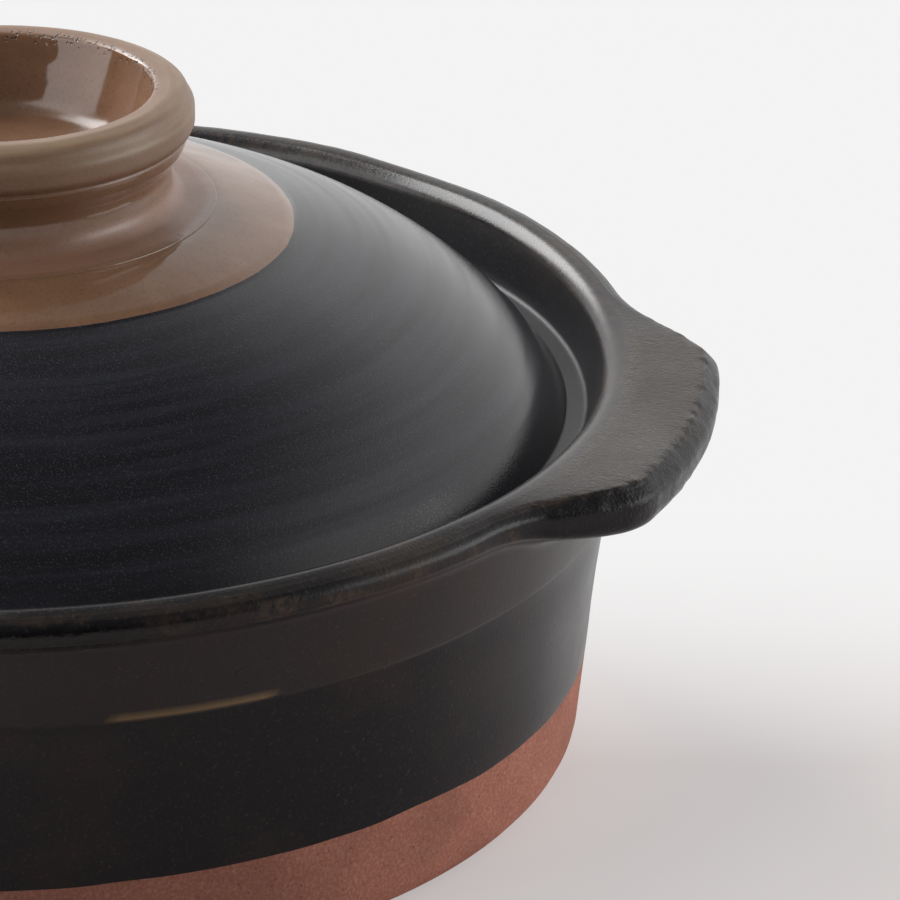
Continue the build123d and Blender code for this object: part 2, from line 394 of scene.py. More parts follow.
def lidBlackGlaze():
    material, tree = newMaterial("SatinBlueBlackGlaze")
    place = addNode(tree, "ShaderNodeTexCoord").outputs["Object"]
    turning = addNode(tree, "ShaderNodeAttribute", attribute_name="turning").outputs["Vector"]
    # wheel rings, slow round the wheel and about 3 mm across it, and sand grains of 0.36 mm,
    # coarser than real ones so that they show
    ringPlace = addNode(tree, "ShaderNodeMapping", {"Vector": turning, "Scale": (1.4, 1.4, 0.33)})
    rings = addNode(tree, "ShaderNodeTexNoise", {
        "Vector": ringPlace, "Scale": 1.0, "Detail": 3.0, "Roughness": 0.5})
    sand = addNode(tree, "ShaderNodeTexNoise", {
        "Vector": place, "Scale": 2800.0, "Detail": 1.0, "Roughness": 0.6})
    greyAmount = addNode(tree, "ShaderNodeMapRange", {
        "Value": rings, "From Min": 0.38, "From Max": 0.66})
    sandAmount = addNode(tree, "ShaderNodeMapRange", {
        "Value": sand, "From Min": 0.56, "From Max": 0.72, "To Max": 0.36})
    body = linear(lidGlaze["deep"])
    for amount, colour in ((greyAmount, "grey"), (sandAmount, "sand")):
        body = addNode(tree, "ShaderNodeMix", {
            0: amount, 6: body, 7: linear(lidGlaze[colour])}, data_type="RGBA")
    bump = addNode(tree, "ShaderNodeBump", {
        "Strength": lidGlaze["grain"], "Distance": 0.00014, "Height": sand})
    rough = addNode(tree, "ShaderNodeMapRange", {
        "Value": rings, "From Min": 0.3, "From Max": 0.7,
        "To Min": lidGlaze["roughness"] + 0.07, "To Max": lidGlaze["roughness"] - 0.05})
    shader = addNode(tree, "ShaderNodeBsdfPrincipled", {
        "Base Color": body, "Roughness": rough, "IOR": lidGlaze["ior"], "Normal": bump})
    addNode(tree, "ShaderNodeOutputMaterial", {"Surface": shader})
    return material


# Gloss ash glaze, milky taupe: satin and greenish tan where it runs thin over the lip, pinker
# where it is thick, with pinholes along the cup's edge.
taupe = {
    "body": "#8a674f", "pink": "#95705d", "tan": "#988365", "pool": "#73543e",
    "speck": "#5c4433", "broken": "#bfae9c", "pinhole": "#3a2a20",
    "roughness": 0.08, "lipRoughness": 0.45, "flareRoughness": 0.45, "ior": 1.6,
}


def taupeGlaze():
    material, tree = newMaterial("GlossTaupeGlaze")
    place = addNode(tree, "ShaderNodeTexCoord").outputs["Object"]
    turning = addNode(tree, "ShaderNodeAttribute", attribute_name="turning").outputs["Vector"]
    runs, breaks = [
        addNode(tree, "ShaderNodeSeparateXYZ", {0: addNode(
            tree, "ShaderNodeAttribute", attribute_name=label).outputs["Vector"]}).outputs
        for label in ("glazeRuns", "glazeBreaks")]
    # pools of 11 mm, specks of 0.7 mm, wheel rings 1.4 mm apart
    cloud = addNode(tree, "ShaderNodeTexNoise", {
        "Vector": place, "Scale": 90.0, "Detail": 4.0, "Roughness": 0.6})
    fine = addNode(tree, "ShaderNodeTexNoise", {
        "Vector": place, "Scale": 1500.0, "Detail": 2.0, "Roughness": 0.7})
    ringPlace = addNode(tree, "ShaderNodeMapping", {"Vector": turning, "Scale": (3.0, 3.0, 0.7)})
    rings = addNode(tree, "ShaderNodeTexNoise", {
        "Vector": ringPlace, "Scale": 1.0, "Detail": 5.0})
    poolAmount = addNode(tree, "ShaderNodeMapRange", {
        "Value": cloud, "From Min": 0.35, "From Max": 0.65, "To Max": 0.45})
    speckAmount = addNode(tree, "ShaderNodeMapRange", {
        "Value": fine, "From Min": 0.52, "From Max": 0.72, "To Max": 0.5})
    tanBreak = addNode(tree, "ShaderNodeMapRange", {
        "Value": rings, "From Min": 0.35, "From Max": 0.62, "To Min": 0.25})
    tanAmount = addNode(tree, "ShaderNodeMath", {0: runs["X"], 1: tanBreak}, operation="MULTIPLY")
    # the seam round the foot is dotted
    dotAmount = addNode(tree, "ShaderNodeMapRange", {
        "Value": fine, "From Min": 0.5, "From Max": 0.62, "To Max": 0.4})
    seamAmount = addNode(tree, "ShaderNodeMath", {
        0: breaks["X"], 1: dotAmount}, operation="MULTIPLY")
    # pinholes: open bubbles, 0.5 mm across and 1 mm apart
    holes = addNode(tree, "ShaderNodeTexVoronoi", {"Vector": place, "Scale": 1050.0})
    holeAmount = addNode(tree, "ShaderNodeMapRange", {
        "Value": holes, "From Min": 0.32, "From Max": 0.2})
    holeHere = addNode(tree, "ShaderNodeMath", {
        0: breaks["Y"], 1: holeAmount}, operation="MULTIPLY")
    body = linear(taupe["body"])
    for amount, colour in (
            (poolAmount, "pool"), (runs["Y"], "pink"), (speckAmount, "speck"),
            (tanAmount, "tan"), (seamAmount, "broken"), (holeHere, "pinhole")):
        body = addNode(tree, "ShaderNodeMix", {
            0: amount, 6: body, 7: linear(taupe[colour])}, data_type="RGBA")
    # orange peel of 7 mm in the gloss
    orangePeel = addNode(tree, "ShaderNodeTexNoise", {
        "Vector": place, "Scale": 150.0, "Detail": 2.0})
    peelBump = addNode(tree, "ShaderNodeBump", {
        "Strength": 0.25, "Distance": 0.0004, "Height": orangePeel})
    holeBump = addNode(tree, "ShaderNodeBump", {
        "Strength": 0.8, "Distance": 0.0003, "Height": holeHere, "Normal": peelBump},
        invert=True)
    rough = taupe["roughness"]
    for amount, roughness in ((runs["Z"], "lipRoughness"), (runs["Y"], "flareRoughness")):
        rough = addNode(tree, "ShaderNodeMix", {
            0: amount, 2: rough, 3: taupe[roughness]}, data_type="FLOAT")
    shader = addNode(tree, "ShaderNodeBsdfPrincipled", {
        "Base Color": body, "Roughness": rough, "IOR": taupe["ior"], "Normal": holeBump})
    addNode(tree, "ShaderNodeOutputMaterial", {"Surface": shader})
    return material


ironMaterial = ironGlaze("SatinIronGlaze", potGlaze["rimSpecular"])
wallMaterial = ironGlaze("DullIronGlazeOnWall", potGlaze["wallSpecular"])
clayMaterial = bareStoneware()
lidMaterial = lidBlackGlaze()
taupeMaterial = taupeGlaze()
print("finishes made")


# Pot with its lugs. Azimuths are in degrees from +X, the right lug, towards +Y, the back.
pot = {
    "columns": 690, "denserAtLugs": 1.0,
    "height": 83.5, "rimRadius": 130.0, "lugReach": 145.5,
    "lugHalfWidth": 33.0, "lugSideAngle": 38.0, "lugCorner": 14.0, "lugRoot": 34.0,
    "glazeLine": 22.5, "glazeRadius": 118.75, "glazeStep": 0.03,
    "ledgeHeight": 73.0, "ledgeRadii": (118.2, 105.5), "floor": 8.5, "hollow": 1.4,
    # the back of the rim: rise and hump, each with the azimuths where it starts, is full,
    # starts to fall and is gone
    "rimRise": 3.4, "riseAngles": (4, 54, 110, 165),
    "rimHump": 0.9, "humpAngles": (60, 74, 100, 130),
    # the near rim leans outwards and its face is painted black shade: middle, full up to, gone at
    "nearDip": 1.6, "nearRim": (285, 42, 62), "paintedShadeFace": (281, 14, 24),
    # the painted highlight on the step, a tan glint: its middle and half its length, in degrees
    "glintSpan": (303.2, 8.2),
    "handWaves": 0.3, "rimBumps": 0.26, "craterDepth": 0.22,
    "turningLine": 54.6, "turningDepth": 0.12,
}


def angleFromLug(azimuth):
    # to the nearer lug's middle, on either side: arcsin of |sin(azimuth)|
    return np.arcsin(np.abs(np.sin(azimuth)))


def lugPlan():
    # Reach of the rim and lug by azimuth: the tip's arc, a corner arc, a straight flank and a
    # root arc that runs into the rim. Each arc is tangent to its neighbours.
    side = np.radians(pot["lugSideAngle"])
    square = np.array([np.sin(side), np.cos(side)])
    along = np.array([np.cos(side), -np.sin(side)])
    flank = square @ np.array([pot["lugReach"], pot["lugHalfWidth"]])
    inner = flank - pot["lugCorner"]
    reach = pot["lugReach"] - pot["lugCorner"]
    cornerCentre = inner * square + np.sqrt(reach**2 - inner**2) * along
    outer = flank + pot["lugRoot"]
    reach = pot["rimRadius"] + pot["lugRoot"]
    rootCentre = outer * square + np.sqrt(reach**2 - outer**2) * along
    tipAngle = np.arctan2(cornerCentre[1], cornerCentre[0])
    rootAngle = np.arctan2(rootCentre[1], rootCentre[0])
    flankAngle = np.pi / 2 - side
    outline = np.concatenate([
        arcPoints(cornerCentre, pot["lugCorner"], np.linspace(tipAngle, flankAngle, 40)),
        arcPoints(rootCentre, pot["lugRoot"], np.linspace(flankAngle, rootAngle, 40) + np.pi)])
    x, y = outline.T
    return np.arctan2(y, x), np.hypot(x, y)


def potAzimuths():
    # columns stand closer together round the lugs: the inverse of a summed density
    fine = np.linspace(0, 2 * np.pi, 40001)
    density = 1 + pot["denserAtLugs"] * (1 - ease(angleFromLug(fine), 0.5, 0.75))
    total = np.concatenate([[0], np.cumsum(density[:-1])])
    wanted = np.linspace(0, total[-1], pot["columns"], endpoint=False)
    return np.interp(wanted, total, fine)


def potSection(azimuth, reach, lug, near):
    # the section at each azimuth, names for some of its rows, and the glaze edge's height
    degrees = np.degrees(azimuth)
    deep = 1 - (1 - lug) ** 2
    # the rim was thrown a little out of level: it rises at the back
    rise = pot["rimRise"] * plateau(degrees, *pot["riseAngles"])
    rise = rise + pot["rimHump"] * plateau(degrees, *pot["humpAngles"])
    top = pot["height"] + rise
    glazeZ = pot["glazeLine"] + handNoise(
        circlePoints(azimuth, 118), (0.5, 30, 5), (0.2, 9, 6))
    # the wall leans outwards by 1 in 20
    glazeRadius = pot["glazeRadius"] + 0.05 * (glazeZ - pot["glazeLine"])
    coatRadius = glazeRadius + pot["glazeStep"]
    crest = top - 0.6 * deep - pot["nearDip"] * near
    # outer top edge: two corners that make a soft roll on the rim and a crease on the lugs
    legDown = 1.76 + 1.7 * deep
    legIn = 1.76 + 1.3 * deep
    ledgeOuter, ledgeInner = pot["ledgeRadii"]
    table = cornerTable(azimuth, [
        # hollow of the base, the ring that it stands on, the rounded foot
        (0, pot["hollow"], 0), (84, pot["hollow"], 1.5), (89, 0, 1.5), (116.2, 0, 8),
        # end of the bare clay, the glaze's edge and its coat above that
        (glazeRadius - 0.07, glazeZ - 0.6, 0.2), (glazeRadius, glazeZ, 0.05),
        (coatRadius + 0.03, glazeZ + 0.3, 0.2), (coatRadius + 0.14, glazeZ + 1.2, 0.4),
        # wall, and the step at the foot of the collar
        (120.9, 40.5, 60), (123.35, 57.4, 0.6), (124.25, 58.5, 0.5),
        # underside of the rim bead and of the lugs
        (127.4 - 0.8 * deep, 74.6 - 4.6 * deep + 0.3 * rise, 4),
        (reach - 0.4 * deep, 77.3 - 4.4 * deep + 0.5 * rise, 2.4 + 4 * deep),
        # outer face, crest, brim
        (reach, crest - legDown, 3.0), (reach - legIn, crest, 3.0 - 2.2 * deep),
        (124.4, top - 0.05 * rise, 5), (121.6, top - 2.0 - 0.12 * rise, 4.5),
        # ledge for the lid
        (ledgeOuter, pot["ledgeHeight"], 1.2), (ledgeInner, pot["ledgeHeight"], 2.4),
        (ledgeInner, 66.5, 2.4),
        # inside wall and floor
        (115.7, 58.7, 4), (108.6, pot["floor"], 26), (0, pot["floor"], 0)])
    # rows in each corner's arc, and in each run between two corners
    arcSteps = [0, 1, 1, 6, 1, 1, 2, 1, 2, 2, 3, 4, 6, 5, 4, 5, 5, 3, 3, 3, 3, 6, 0]
    runSteps = [2, 1, 3, 3, 1, 1, 1, 5, 5, 1, 9, 2, 3, 3, 12, 2, 5, 4, 1, 2, 6, 3]
    section, marks = roundedProfile(table, arcSteps, runSteps)
    at = dict(
        glazeEdge=marks[5], coat=marks[6], step=marks[10], underRim=marks[11],
        faceLow=marks[12], faceTop=marks[13], crest=marks[14], brim=marks[15],
        brimEnd=marks[16], ledge=marks[17])
    return section, at, glazeZ


def potRelief(points, at, glazeZ, fromCrest, lug):
    # how far the hand-made surface stands out from the even section, in mm
    row = np.arange(len(points))[:, None]
    height = points[..., 2]
    # soft waves on the outside; rougher bumps on the rim and lug edges
    outside = (row > at["coat"]) * ease(height - glazeZ, 1.5, 12)
    outside = outside * (1 - ease(row, at["ledge"], at["ledge"] + 3))
    waves = handNoise(points, (0.7, 55, 1), (0.3, 22, 2)) - 0.8
    edge = band(row, at["faceLow"] + 4, at["crest"] + 3, 3)
    bumps = handNoise(points, (0.6, 4.5, 3), (0.4, 2.0, 4)) - 0.7
    push = pot["handWaves"] * outside * waves
    push = push + pot["rimBumps"] * edge * (0.35 + 0.65 * lug) * bumps
    # small pits, about 1.5 mm across, along the lugs' crease
    crater = ease(handNoise(points, (1, 1.5, 15)), -0.2, 0.5)
    push = push - pot["craterDepth"] * crater * (1 - ease(fromCrest, 0.3, 1.4)) * lug
    # a second, fainter turning line under the step
    line = np.exp(-((height - pot["turningLine"]) / 0.7) ** 2)
    return push - pot["turningDepth"] * outside * line


def makePot():
    # points = the section at each azimuth swept round Z + its normal x relief
    azimuth = potAzimuths()
    degrees = np.degrees(azimuth)
    reach = np.interp(angleFromLug(azimuth), *lugPlan())
    lug = (reach - pot["rimRadius"]) / (pot["lugReach"] - pot["rimRadius"])
    near = facing(degrees, *pot["nearRim"])
    section, at, glazeZ = potSection(azimuth, reach, lug, near)
    distance = alongPath(section)
    fromCrest = np.abs(distance - distance[at["crest"] + 2])
    points = turnedPoints(section, azimuth)
    normals = outwardNormals(points)
    points = points + normals * potRelief(points, at, glazeZ, fromCrest, lug)[..., None]
    rows = len(section)
    row = np.arange(rows)[:, None]

    # tan where the glaze is rubbed thin: spots on the lugs' crease; a painted warm tint in the
    # far brim's highlight; pits along the crease
    patches = ease(handNoise(circlePoints(azimuth, 120), (1, 11, 9)), -0.5, 0.6)
    crease = 1 - ease(fromCrest, 0.5, 1.7)
    brim = band(row, at["brim"] - 1, at["brimEnd"] + 3, 2)
    tan = crease * (0.12 + 0.3 * lug) * patches + 0.15 * brim * (1 - near)
    pitsAndPaintedShade = (1 - ease(fromCrest, 0.35, 1.1)) * lug
    # the near rim's face: painted black shade broken into pits; brown mottled on both sides
    paintedShadeFace = facing(degrees, *pot["paintedShadeFace"])
    face = band(row, at["faceLow"] + 1, at["faceTop"] + 4, 2)
    ragged = ease(handNoise(points, (1, 3.5, 12), (0.6, 1.5, 13)), -1.2, -0.1)
    pitsAndPaintedShade = np.maximum(pitsAndPaintedShade, face * paintedShadeFace * ragged)
    mottle = ease(handNoise(points, (1, 7, 14)), 0.15, 0.7)
    tan = np.maximum(tan, 0.3 * face * (1 - paintedShadeFace) * mottle * (1 - lug))
    # a painted highlight on the step: a tan glint on one side only, which tapers both ways
    middle, halfLength = pot["glintSpan"]
    glintSpan = np.clip(1 - ((degrees - middle) / halfLength) ** 2, 0, 1)
    fromStep = np.abs(distance - distance[at["step"] + 2])
    glint = ease(glintSpan, 0, 0.4) * (1 - ease(fromStep, 0.2 + 0.4 * glintSpan, 0.6 + 0.8 * glintSpan))

    # where the ripples, the lugs' brown and the inside's black go
    mostlyLugs = 0.25 + 0.75 * lug
    drag = band(row, at["faceLow"] + 3, at["brim"] - 2, 3) * mostlyLugs
    upper = band(row, at["crest"] + 1, at["brim"] - 2, 2) * mostlyLugs
    inside = ease(row, at["brimEnd"] + 4, at["ledge"])
    # the brim is polished, and the collar's coat is browner than the wall's
    polish = band(row, at["brim"] - 1, at["brimEnd"] + 2, 2)
    collar = band(row, at["step"] + 1, at["underRim"] + 2, 2)

    finishes = [ironMaterial, clayMaterial, wallMaterial]
    faceRow = np.arange(rows - 1)
    innerWall = (faceRow > at["brimEnd"] + 2) & (faceRow < at["ledge"])
    dull = innerWall | (faceRow < at["crest"])
    faceMaterial = np.where(faceRow < at["glazeEdge"] + 1, 1, np.where(dull, 2, 0))
    piece = meshFromGrid("PotWithLugs", points, finishes, faceMaterial, {
        "turning": turningCoordinates(azimuth, distance),
        "wearAndPaintedLight": (tan, pitsAndPaintedShade, glint),
        "zones": (drag, upper, inside),
        "skins": (polish, collar, 0)})
    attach(piece, "pot")
    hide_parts("pot_bowl", "pot_collar", "handle_lug_right", "handle_lug_left")
    print("pot:", rows, "rows,", len(azimuth), "columns,", len(piece.data.polygons), "faces")


makePot()


# Lid with its steam hole
lid = {
    "columns": 640, "edgeRadius": 114.3, "edgeHeight": 74.6, "seat": 115.9, "wall": 6.5,
    "crownRadius": 195.0, "shoulder": 74.0, "knobFoot": 44.2,
    # the flat underside of the edge, as radius and height
    "underEdge": [(113.0, 73.0), (113.9, 73.03), (114.2, 73.15)],
    # the taupe ring: radius, how proud it stands, its bevel's width, and between which radii
    # and how far rows are drawn on to it
    "taupeRadius": 59.7, "taupeStep": 0.3, "taupeBevel": 0.35,
    "taupeRows": (46, 66), "taupePull": 3.0,
    "holeRadius": 4.0, "holePlace": 80.0, "holeColumns": 48, "holeLean": 0.42,
    # the hole's cutter from below: height and how much wider than the hole
    "holeCutter": [(60.0, 0.9), (92.5, 0.9), (94.3, 0), (103.6, 0), (105.6, 0.9), (130.0, 0.9)],
    "handWaves": 0.25, "edgeRoll": 1.2, "sharpAngle": 35,
}


def arcRows(centre, radius, start, end, steps):
    # points on an arc between two angles, in degrees from the radius axis
    return arcPoints(centre, radius, np.radians(np.linspace(start, end, steps)))


def domeArcs():
    # Crown arc about a centre on the axis, and the skirt arc tangent to it at the shoulder
    # whose circle passes through the lid's edge.
    crownCentre = np.array([0, lid["seat"] - np.sqrt(lid["crownRadius"]**2 - lid["knobFoot"]**2)])
    shoulder = crownCentre + np.array([
        lid["shoulder"], np.sqrt(lid["crownRadius"]**2 - lid["shoulder"]**2)])
    edge = np.array([lid["edgeRadius"], lid["edgeHeight"]])
    inward = (crownCentre - shoulder) / lid["crownRadius"]
    chord = edge - shoulder
    skirtRadius = chord @ chord / (2 * chord @ inward)
    skirtCentre = shoulder + inward * skirtRadius
    shoulderAngle = np.degrees(np.arctan2(-inward[1], -inward[0]))
    return crownCentre, skirtCentre, skirtRadius, shoulderAngle


def cutSteamHole(piece, section, distance):
    # A straight hole with softened rims, which lean with the dome, is cut by an exact boolean,
    # and then the turning coordinates are worked out again from each point's place.
    tall, wider = np.array(lid["holeCutter"]).T
    wide = lid["holeRadius"] + wider
    columns = lid["holeColumns"]
    turn = np.linspace(0, 2 * np.pi, columns, endpoint=False)
    ring = np.stack([
        wide[:, None] * np.cos(turn) - lid["holePlace"], wide[:, None] * np.sin(turn),
        tall[:, None] + 0 * turn], axis=-1)
    ring[..., 2] += lid["holeLean"] * (ring[..., 0] + lid["holePlace"])
    faces = ringQuads(len(tall), columns, 0).tolist()
    faces.append(list(range(columns))[::-1])
    faces.append(list(range(columns * (len(tall) - 1), columns * len(tall))))
    mesh = bpy.data.meshes.new("SteamHoleCutter")
    mesh.from_pydata((ring.reshape(-1, 3) * mm).tolist(), [], faces)
    cutter = addObject("SteamHoleCutter", mesh)
    cut = piece.modifiers.new("SteamHole", "BOOLEAN")
    cut.operation = "DIFFERENCE"
    cut.solver = "EXACT"
    cut.object = cutter
    bpy.context.view_layer.update()
    solved = piece.evaluated_get(bpy.context.evaluated_depsgraph_get())
    holed = bpy.data.meshes.new_from_object(solved)
    piece.modifiers.clear()
    piece.data = holed
    bpy.data.objects.remove(cutter)
    count = len(holed.vertices)
    place = np.zeros(count * 3, np.float32)
    holed.vertices.foreach_get("co", place)
    place = place.reshape(-1, 3) / mm
    azimuth = np.arctan2(place[:, 1], place[:, 0])
    radius = np.hypot(place[:, 0], place[:, 1])
    outer = np.argmax(section[:, 0, 0])
    along = np.interp(radius, section[outer:, 0, 0][::-1], distance[outer:, 0][::-1])
    values = np.stack(turningCoordinates(azimuth, along), axis=1).astype(np.float32)
    holed.attributes["turning"].data.foreach_set("vector", values.ravel())
    holed.set_sharp_from_angle(angle=np.radians(lid["sharpAngle"]))
    print("steam hole cut, vertices:", count)


def makeDome():
    # points = crown and skirt arcs, outside and inside, swept round Z + normal x waves
    azimuth = np.linspace(0, 2 * np.pi, lid["columns"], endpoint=False)
    crown, skirt, skirtRadius, shoulderAngle = domeArcs()
    crownRadius = lid["crownRadius"]
    innerCrown = crownRadius - lid["wall"]
    innerSkirt = skirtRadius - lid["wall"]
    innerTop = lid["seat"] - lid["wall"]
    innerFlat = np.sqrt(innerCrown**2 - (innerTop - crown[1])**2)
    edgeAngle = np.degrees(
        np.arctan2(lid["edgeHeight"] - skirt[1], lid["edgeRadius"] - skirt[0]))
    innerEdge = np.degrees(np.arcsin((lid["underEdge"][0][1] - skirt[1]) / innerSkirt))
    innerSeatAngle = np.degrees(np.arctan2(innerTop - crown[1], innerFlat))
    seatAngle = np.degrees(np.arctan2(lid["seat"] - crown[1], lid["knobFoot"]))
    underside = np.concatenate([
        [[0, innerTop], [innerFlat * 0.5, innerTop]],
        arcRows(crown, innerCrown, innerSeatAngle, shoulderAngle, 8),
        arcRows(skirt, innerSkirt, shoulderAngle, innerEdge, 16)[1:],
        lid["underEdge"]])
    outline = np.concatenate([
        underside,
        arcRows(skirt, skirtRadius, edgeAngle, shoulderAngle, 34),
        arcRows(crown, crownRadius, shoulderAngle, seatAngle, 26)[1:],
        [[lid["knobFoot"] - 8, lid["seat"]], [0, lid["seat"]]]])
    row = np.arange(len(outline))[:, None]
    firstOuter = len(underside)
    radius = outline[:, :1] + 0 * azimuth
    height = outline[:, 1:] + 0 * azimuth
    # the taupe glaze ends on a hand-drawn ring and stands a little proud of the black: the rows
    # near the ring are drawn on to it, so that it is an edge between faces
    ring = lid["taupeRadius"] + handNoise(
        circlePoints(azimuth, 60), (0.28, 16, 21), (0.12, 4, 22))
    lowest, highest = lid["taupeRows"]
    plain = outline[:, 0]
    crownRows = np.where((row[:, 0] > firstOuter) & (plain < highest) & (plain > lowest))[0]
    place = plain[crownRows]
    nearest = np.argmin(np.abs(place - lid["taupeRadius"]))
    pull = np.exp(-((place - place[nearest]) / lid["taupePull"])**2)
    radius[crownRows] += (ring - place[nearest])[None, :] * pull[:, None]
    edgeRow = crownRows[nearest]
    radius[edgeRow + 1] = radius[edgeRow] - lid["taupeBevel"]
    height[crownRows] = crown[1] + np.sqrt(crownRadius**2 - radius[crownRows]**2)
    # the skirt turns down faster near its edge than one arc does
    height = height - lid["edgeRoll"] * (row > firstOuter - 2) * ease(radius, 105, 113.5)
    proud = (row > edgeRow) * ease(radius, lid["knobFoot"] - 1.5, lid["knobFoot"] + 2)
    section = np.stack([radius, height + lid["taupeStep"] * proud], axis=-1)
    distance = alongPath(section)
    points = turnedPoints(section, azimuth)
    normals = outwardNormals(points)
    # hand-made waves, which end short of the knob's foot and of the edge
    skin = (row > firstOuter + 6) * ease(radius, 48, 60) * (1 - ease(radius, 108, 113))
    waves = handNoise(points, (0.7, 48, 11), (0.3, 18, 12)) - 0.8
    points = points + normals * (lid["handWaves"] * skin * waves)[..., None]
    faceMaterial = np.where(np.arange(len(outline) - 1) >= edgeRow, 1, 0)
    piece = meshFromGrid("LidDome", points, [lidMaterial, taupeMaterial], faceMaterial, {
        "turning": turningCoordinates(azimuth, distance)})
    cutSteamHole(piece, section, distance)
    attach(piece, "lid")
    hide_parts("lid_dome")
    print("dome:", len(outline), "rows,", len(piece.data.polygons), "faces")


makeDome()


# Ring knob. Its heights are measured from the lid's flat seat.
knob = {
    "columns": 480, "seat": 115.9, "foot": 44.2, "waist": 35.3, "lip": 40.2,
    "crest": 24.9, "cupFloor": 9.6, "cupCorner": 25.4, "handWaves": 0.22,
    "lipTan": 0.55, "flarePink": 0.8, "footSeam": 0.6,
}


def makeKnob():
    # points = one rounded profile swept round Z + normal x waves
    azimuth = np.linspace(0, 2 * np.pi, knob["columns"], endpoint=False)
    table = cornerTable(azimuth, [
        # foot and its flare up to the waist
        (0, 0, 0), (knob["foot"], 0, 0.1), (knob["foot"], 0.4, 0.3), (41.4, 0.8, 6),
        (knob["waist"] + 0.4, 1.6, 5.2), (knob["waist"], 8.6, 4),
        # neck, with a groove under the lip
        (38.0, 12.0, 3), (38.9, 14.6, 0.5), (38.7, 15.2, 0.25),
        # rolled lip and its crest
        (knob["lip"], 16.4, 1.6), (knob["lip"], 20.4, 2.5), (39.3, 21.9, 3),
        (38.5, knob["crest"] - 1.2, 2.4), (35.6, knob["crest"], 3.5),
        # cup
        (31.9, knob["crest"] - 0.5, 1.4), (30.2, 19.5, 10),
        (knob["cupCorner"], knob["cupFloor"], 5), (0, knob["cupFloor"], 0)])
    table[..., 1] += knob["seat"]
    arcSteps = [0, 1, 2, 3, 6, 4, 3, 2, 2, 3, 3, 3, 4, 4, 5, 3, 6, 0]
    runSteps = [3, 1, 2, 2, 3, 3, 2, 1, 1, 4, 2, 2, 2, 3, 3, 6, 6]
    section, marks = roundedProfile(table, arcSteps, runSteps)
    footTop, flare, waist = marks[2:5]
    neck, groove, lipLow, lipHigh = marks[6], marks[8], marks[9], marks[10]
    crest, cupEdge, cupFloor = marks[13], marks[14], marks[16]
    distance = alongPath(section)
    points = turnedPoints(section, azimuth)
    normals = outwardNormals(points)
    row = np.arange(len(section))[:, None]
    skin = band(row, flare, neck, 3) + band(row, cupEdge + 2, cupFloor + 5, 3)
    skin = skin + 0.4 * band(row, lipLow + 2, cupEdge, 2)
    waves = handNoise(points, (0.6, 16, 31), (0.4, 7, 32)) - 0.9
    points = points + normals * (knob["handWaves"] * skin * waves)[..., None]
    # greenish tan and satin on the roll, pinker on the flare; the cup's floor is half satin
    satin = band(row, groove, cupEdge + 1, 2) + 0.5 * ease(row, cupFloor - 1, cupFloor + 2)
    tan = knob["lipTan"] * band(row, lipHigh + 1, crest + 3, 2)
    pink = knob["flarePink"] * band(row, flare, waist + 6, 2)
    seam = knob["footSeam"] * band(row, footTop, footTop + 1, 1)
    pinholes = 1 - ease(np.abs(distance - distance[cupEdge + 3]), 0.9, 1.9)
    piece = meshFromGrid("RingKnob", points, [taupeMaterial], np.zeros(len(section) - 1), {
        "turning": turningCoordinates(azimuth, distance),
        "glazeRuns": (tan, pink, satin),
        "glazeBreaks": (seam, pinholes, 0)})
    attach(piece, "lid")
    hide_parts("lid_knob")
    print("knob:", len(section), "rows,", len(piece.data.polygons), "faces")


makeKnob()


# Studio: camera, floor and light, in metres
studio = {
    "cameraPlace": (0.3366, -1.0740, 0.5365), "cameraHeading": (-0.2037, 0.8982, -0.3896),
    "lens": 240.0, "sensor": 36.0, "clip": (0.05, 60.0),
    "floorRadius": 4.0, "floorRings": 24, "floorColumns": 96,
    "paper": "#f3f3f3", "floor": "#f5e9e6", "paintedShadeFront": "#77716d",
    # the paper's glow: starts and is full, behind the pot and round it; the painted shade in
    # front
    "backward": (-0.2211, 0.9752, 0.0), "backFade": (-0.12, 0.115),
    "ringFade": (0.26, 0.9), "glowNear": 0.40, "paintedShadeFade": (-0.05, -0.17),
    # the bright backdrop: the side it is on, and its fades over the side and up the height
    "brightSide": (0.3420, 0.9397, 0.0), "sideFade": (-0.2, 0.35), "topFade": (0.93, 0.5),
    "backdrop": 1.08, "ambient": 0.05, "overhead": 0.13, "ceilingFade": (0.2, 0.9),
    # radiance, size and place
    "softboxes": {
        "BackKey": (8.2, (0.85, 0.7), (-0.88, 0.56, 0.94)),
        "LeftSoftbox": (1.9, (1.35, 1.7), (-1.12, -0.70, 0.95)),
        "LeftCard": (3.6, (1.35, 1.7), (-1.12, -0.70, 0.95)),
        "RightSoftbox": (3.4, (0.8, 0.5), (1.18, 0.12, 0.27))},
    "aim": (0, 0, 0.08),
}


def makeCamera():
    data = bpy.data.cameras.new("PhotoCamera")
    data.lens = studio["lens"]
    data.sensor_width = studio["sensor"]
    data.clip_start, data.clip_end = studio["clip"]
    camera = addObject("PhotoCamera", data)
    camera.location = studio["cameraPlace"]
    camera.rotation_euler = Vector(studio["cameraHeading"]).to_track_quat("-Z", "Y").to_euler()
    bpy.context.scene.camera = camera


def makeFloor():
    # a disc of rings that fades into the pale background; radius = full radius x step squared
    rings, columns = studio["floorRings"], studio["floorColumns"]
    radius = studio["floorRadius"] * (np.arange(1, rings + 1) / rings) ** 2
    azimuth = np.linspace(0, 2 * np.pi, columns, endpoint=False)
    around = radius[:, None, None] * circlePoints(azimuth, 1)
    verts = np.concatenate([[[0, 0, 0]], around.reshape(-1, 3)])
    column = np.arange(columns)
    fan = np.stack([0 * column, 1 + column, 1 + (column + 1) % columns], axis=-1).tolist()
    quads = ringQuads(rings, columns, 1)[:, [0, 3, 2, 1]].tolist()
    mesh = bpy.data.meshes.new("PaperFloor")
    mesh.from_pydata(verts.tolist(), [], fan + quads)
    mesh.materials.append(paperSweep())
    floor = addObject("PaperFloor", mesh)


